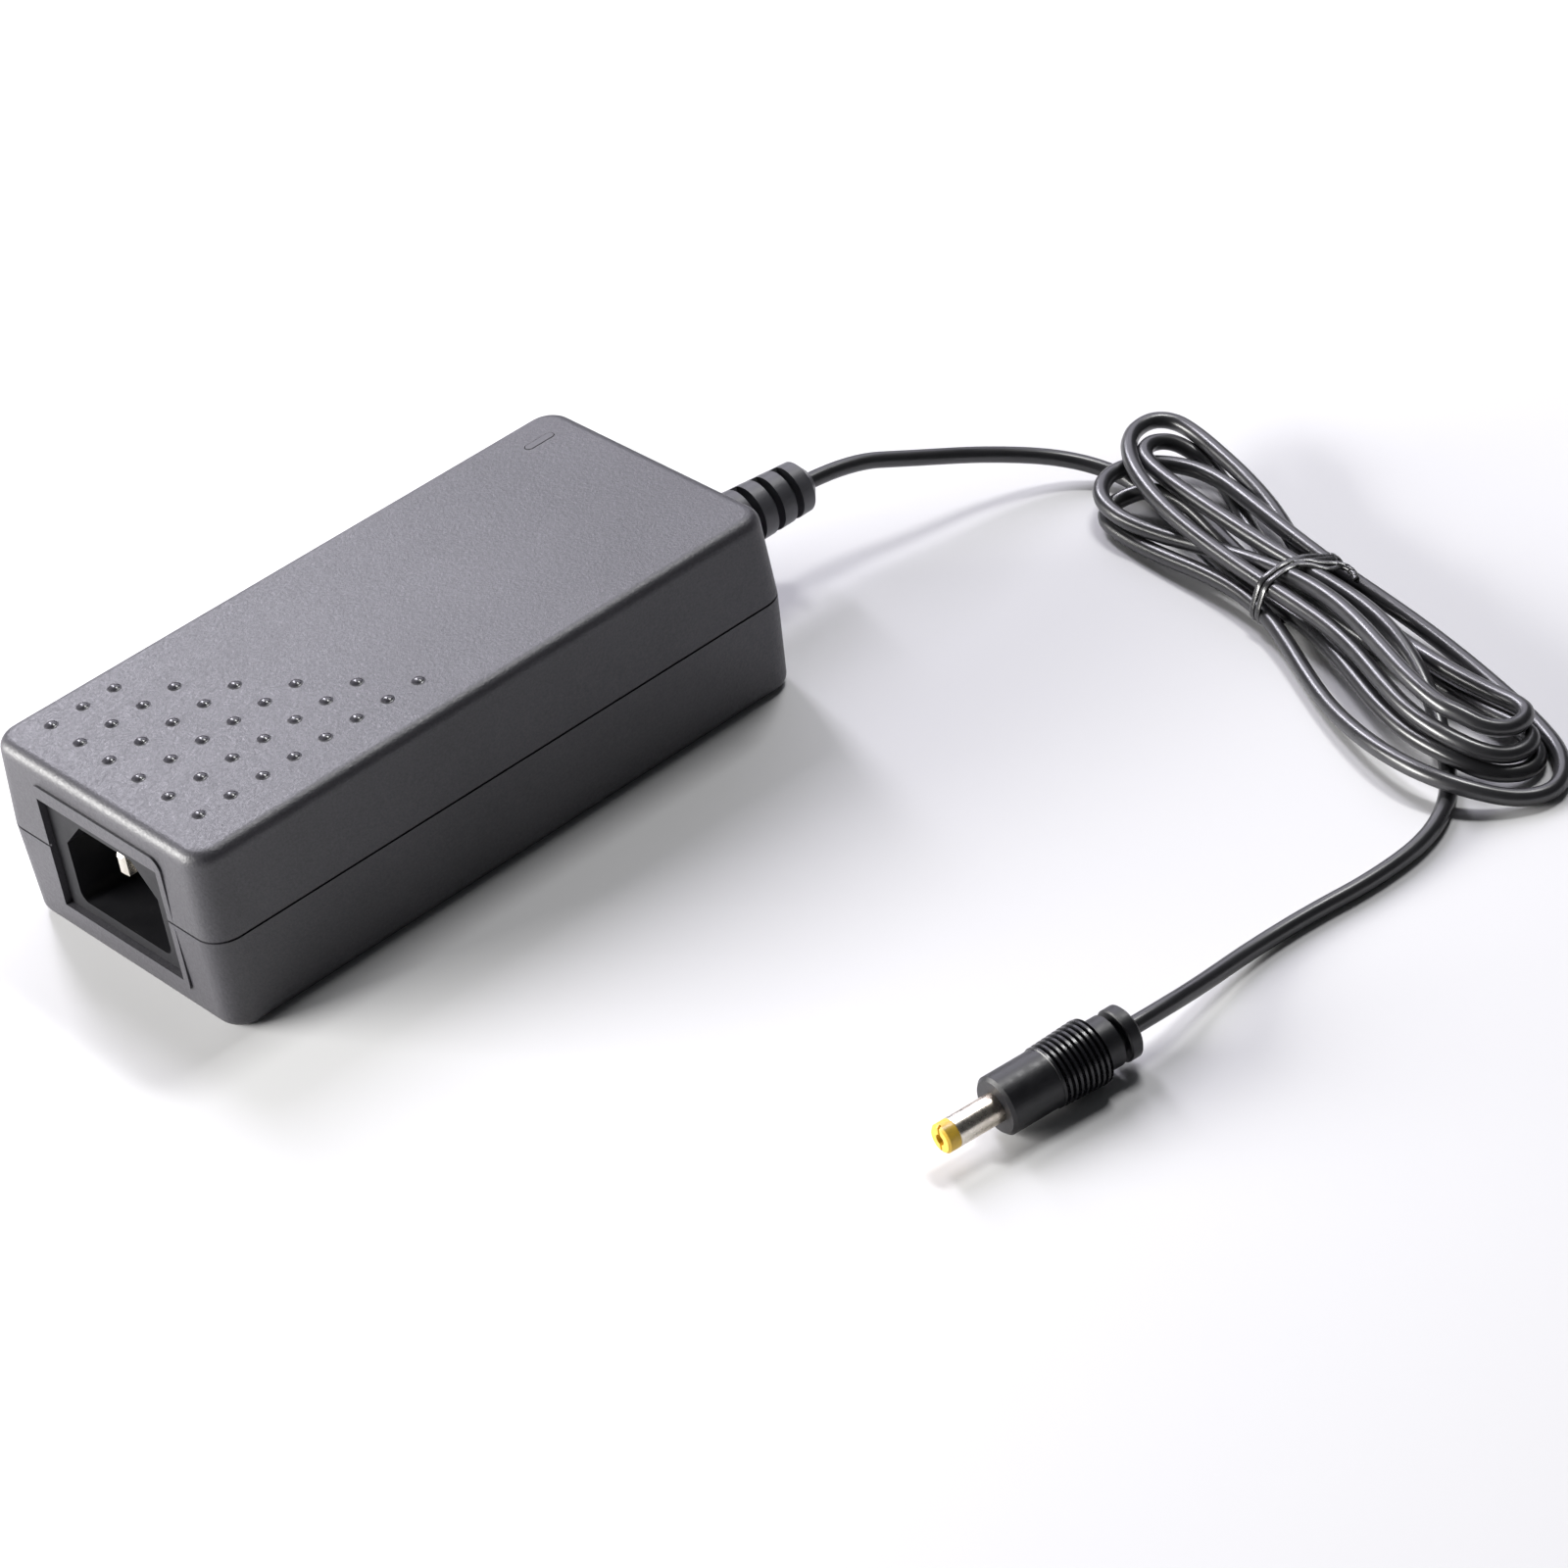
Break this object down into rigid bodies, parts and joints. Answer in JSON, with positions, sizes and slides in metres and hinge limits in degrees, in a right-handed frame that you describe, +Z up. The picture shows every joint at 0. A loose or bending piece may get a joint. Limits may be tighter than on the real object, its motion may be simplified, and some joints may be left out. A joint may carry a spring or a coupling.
{
  "type": "desktop power supply",
  "caption": "Desktop AC to DC supply: two-shell black case with a mains inlet, slotted cord boot, tied hank of output cord and a barrel plug.",
  "frame": {"origin": "centre of the case's underside", "axes": "+X toward the cord end, +Y toward the long side with the indicator, +Z up from the underside"},
  "size_m": [0.2065, 0.1802, 0.0343],
  "materials": {
    "case_plastic": "fine moulded texture, charcoal black",
    "inlet_plastic": "moulded black, slightly smoother than the case",
    "inlet_pin": "bright nickel plate",
    "board": "green solder mask",
    "insulation_film": "milky film",
    "fuse_case": "black moulded case",
    "disc_green": "dipped coating",
    "disc_blue": "dipped coating",
    "film_box": "moulded box",
    "ferrite": "sintered ferrite",
    "copper_wire": "enamelled copper",
    "winding_tape": "polyester tape over copper",
    "chip_plastic": "moulded epoxy",
    "can_sleeve": "shrink sleeve over aluminium",
    "plate_metal": "as stamped",
    "screw_metal": "zinc plate",
    "wire_red": "wire insulation",
    "wire_black": "wire insulation",
    "wire_brown": "wire insulation",
    "wire_blue": "wire insulation",
    "wire_green": "wire insulation",
    "lamp": "tinted clear resin",
    "light_pipe": "smoked frosted acrylic, the case's own tone when unlit",
    "cord_pvc": "glossy black jacket",
    "boot_pvc": "satin moulded elastomer",
    "tie_plastic": "glossy coated wire",
    "plug_pvc": "satin moulded elastomer",
    "nickel": "satin nickel plate",
    "tip_yellow": "moulded yellow nylon",
    "contact_metal": "bare contact"
  },
  "bodies": {
    "root": {"case_bottom": "case_plastic", "case_top": "case_plastic", "inlet_housing": "inlet_plastic", "pin_line": "inlet_pin", "pin_neutral": "inlet_pin", "pin_earth": "inlet_pin", "inlet_lead_line": "wire_brown", "inlet_lead_neutral": "wire_blue", "inlet_lead_earth": "wire_green", "circuit_board": "board", "insulation_sheet": "insulation_film", "fuse": "fuse_case", "thermistor": "disc_green", "varistor": "disc_blue", "y_capacitor": "disc_blue", "x_capacitor": "film_box", "choke_base": "chip_plastic", "choke_core": "ferrite", "choke_winding_a": "copper_wire", "choke_winding_b": "copper_wire", "bridge_rectifier": "chip_plastic", "bulk_capacitor": "can_sleeve", "primary_heatsink": "plate_metal", "power_transistor": "chip_plastic", "primary_screw": "screw_metal", "output_heatsink": "plate_metal", "output_rectifier": "chip_plastic", "output_screw": "screw_metal", "transformer_core": "ferrite", "transformer_winding": "winding_tape", "output_capacitor_a": "can_sleeve", "output_capacitor_b": "can_sleeve", "output_capacitor_c": "can_sleeve", "output_choke_core": "ferrite", "output_choke_winding": "copper_wire", "optocoupler": "chip_plastic", "control_chip": "chip_plastic", "indicator_led": "lamp", "light_pipe": "light_pipe", "output_lead_pos": "wire_red", "output_lead_neg": "wire_black", "strain_relief": "boot_pvc", "cord_lead": "cord_pvc", "cord_hank": "cord_pvc", "cord_tail": "cord_pvc", "wire_tie": "tie_plastic", "plug_body": "plug_pvc", "plug_barrel": "nickel", "plug_insulator": "tip_yellow", "plug_contact": "contact_metal"}
  },
  "joints": []
}
